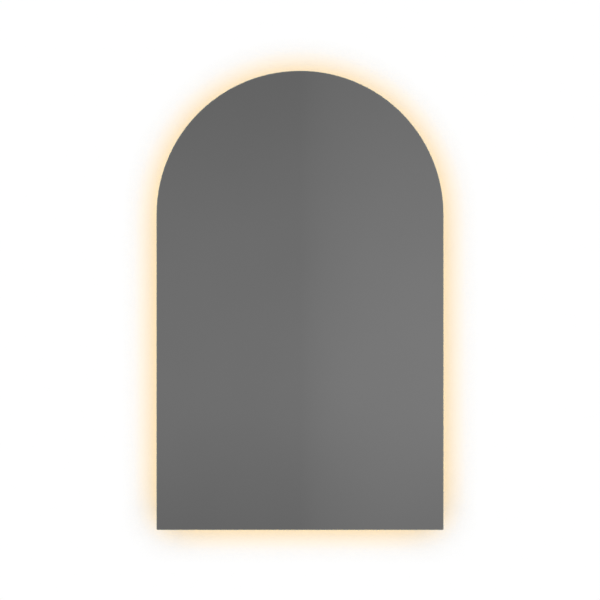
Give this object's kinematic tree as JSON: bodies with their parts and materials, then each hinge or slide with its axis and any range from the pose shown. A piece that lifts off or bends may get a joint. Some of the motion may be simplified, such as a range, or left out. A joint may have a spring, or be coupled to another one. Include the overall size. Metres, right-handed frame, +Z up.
{
  "type": "lighted bathroom mirror",
  "caption": "Arched frameless wall mirror with a warm light behind its edge, hooked on a wall rail, with a driver and lever terminals in its open back.",
  "frame": {"origin": "middle of the wall rail's two screw slots, on the wall plane", "axes": "+Z up, +Y into the wall, so the mirror faces -Y; +X to the right as seen from the room"},
  "size_m": [0.5, 0.04, 0.8],
  "materials": {
    "galvanised_steel": "galvanised sheet, satin",
    "zinc_plated_steel": "zinc plated",
    "mirror_glass": "silvered float glass, polished edge",
    "backing_film": "grey backing paint under a safety film",
    "foam_tape": "closed cell foam",
    "anodised_aluminium": "natural anodised extrusion",
    "cast_aluminium": "as cast",
    "rivet_aluminium": "plain",
    "clear_rubber": "translucent polyurethane",
    "opal_diffuser": "opal acrylic, lit from behind",
    "flexible_board": "white flexible circuit",
    "warm_light": "warm white light chip",
    "black_ceramic": "chip resistor",
    "jumper_cover": "wire cover",
    "box_plastic": "moulded, fine grain",
    "driver_plastic": "moulded, fine grain",
    "black_rubber": "moulded",
    "terminal_plastic": "moulded",
    "tinned_copper": "tinned",
    "spring_steel": "stainless leaf",
    "brown_plastic": "moulded",
    "blue_plastic": "moulded",
    "green_yellow_plastic": "moulded",
    "circuit_board": "green solder mask",
    "ferrite_and_tape": "ferrite core with a taped winding",
    "capacitor_sleeve": "sleeve with a bare top",
    "coil_copper": "enamelled winding",
    "white_sheath": "soft sheath",
    "black_sheath": "soft sheath",
    "brown_cover": "wire cover",
    "blue_cover": "wire cover",
    "green_yellow_cover": "wire cover, two colours",
    "red_cover": "wire cover"
  },
  "bodies": {
    "wall_mount": {"wall_rail": "galvanised_steel"},
    "mirror": {"mirror_glass": "mirror_glass", "mirror_backing": "backing_film", "bonding_tape": "foam_tape", "frame_arch": "anodised_aluminium", "frame_bottom": "anodised_aluminium", "corner_keys": "cast_aluminium", "corner_screws": "zinc_plated_steel", "wall_bumpers": "clear_rubber", "diffuser_arch": "opal_diffuser", "diffuser_bottom": "opal_diffuser", "led_strip_arch": "flexible_board", "led_strip_bottom": "flexible_board", "leds": "warm_light", "strip_resistors": "black_ceramic", "strip_jumpers": "jumper_cover", "hanging_bar": "galvanised_steel", "hanging_bar_rivets": "rivet_aluminium", "service_tray": "galvanised_steel", "tray_screws": "zinc_plated_steel", "junction_box": "box_plastic", "junction_box_screws": "zinc_plated_steel", "hinge_pin": "zinc_plated_steel", "cable_grommet": "black_rubber", "cord_clamp": "box_plastic", "cord_clamp_screws": "zinc_plated_steel", "terminal_body": "terminal_plastic", "terminal_screws": "zinc_plated_steel", "terminal_bars": "tinned_copper", "terminal_springs": "spring_steel", "driver_base": "driver_plastic", "driver_lid": "driver_plastic", "driver_lid_screws": "zinc_plated_steel", "driver_mount_screws": "zinc_plated_steel", "driver_board": "circuit_board", "driver_transformer": "ferrite_and_tape", "driver_capacitors": "capacitor_sleeve", "driver_coil": "coil_copper", "driver_heat_sink": "rivet_aluminium", "mains_lead": "white_sheath", "live_wire": "brown_cover", "neutral_wire": "blue_cover", "earth_wire": "green_yellow_cover", "earth_ring": "tinned_copper", "earth_screw": "zinc_plated_steel", "dc_lead": "black_sheath", "dc_cores": "red_cover", "junction_lead_bushes": "black_rubber", "driver_lead_bushes": "black_rubber", "frame_bush": "black_rubber", "lead_clip": "box_plastic"},
    "cover": {"junction_cover": "box_plastic", "cover_screws": "zinc_plated_steel"},
    "live_lever": {"terminal_lever_live": "brown_plastic"},
    "neutral_lever": {"terminal_lever_neutral": "blue_plastic"},
    "earth_lever": {"terminal_lever_earth": "green_yellow_plastic"}
  },
  "joints": [
    {"name": "mirror_lift", "type": "slide", "parent": "wall_mount", "child": "mirror", "axis": [0, 0, 1], "range_m": [0, 0.018]},
    {"name": "cover_hinge", "type": "hinge", "parent": "mirror", "child": "cover", "pos_m": [-0.1785, -0.0073, -0.3], "axis": [0, 0, 1], "range_deg": [0, 110]},
    {"name": "live_lever_pivot", "type": "hinge", "parent": "mirror", "child": "live_lever", "pos_m": [-0.1195, -0.022, -0.29], "axis": [0, 0, -1], "range_deg": [0, 90]},
    {"name": "neutral_lever_pivot", "type": "hinge", "parent": "mirror", "child": "neutral_lever", "pos_m": [-0.1195, -0.022, -0.3], "axis": [0, 0, -1], "range_deg": [0, 90]},
    {"name": "earth_lever_pivot", "type": "hinge", "parent": "mirror", "child": "earth_lever", "pos_m": [-0.1195, -0.022, -0.31], "axis": [0, 0, -1], "range_deg": [0, 90]}
  ]
}
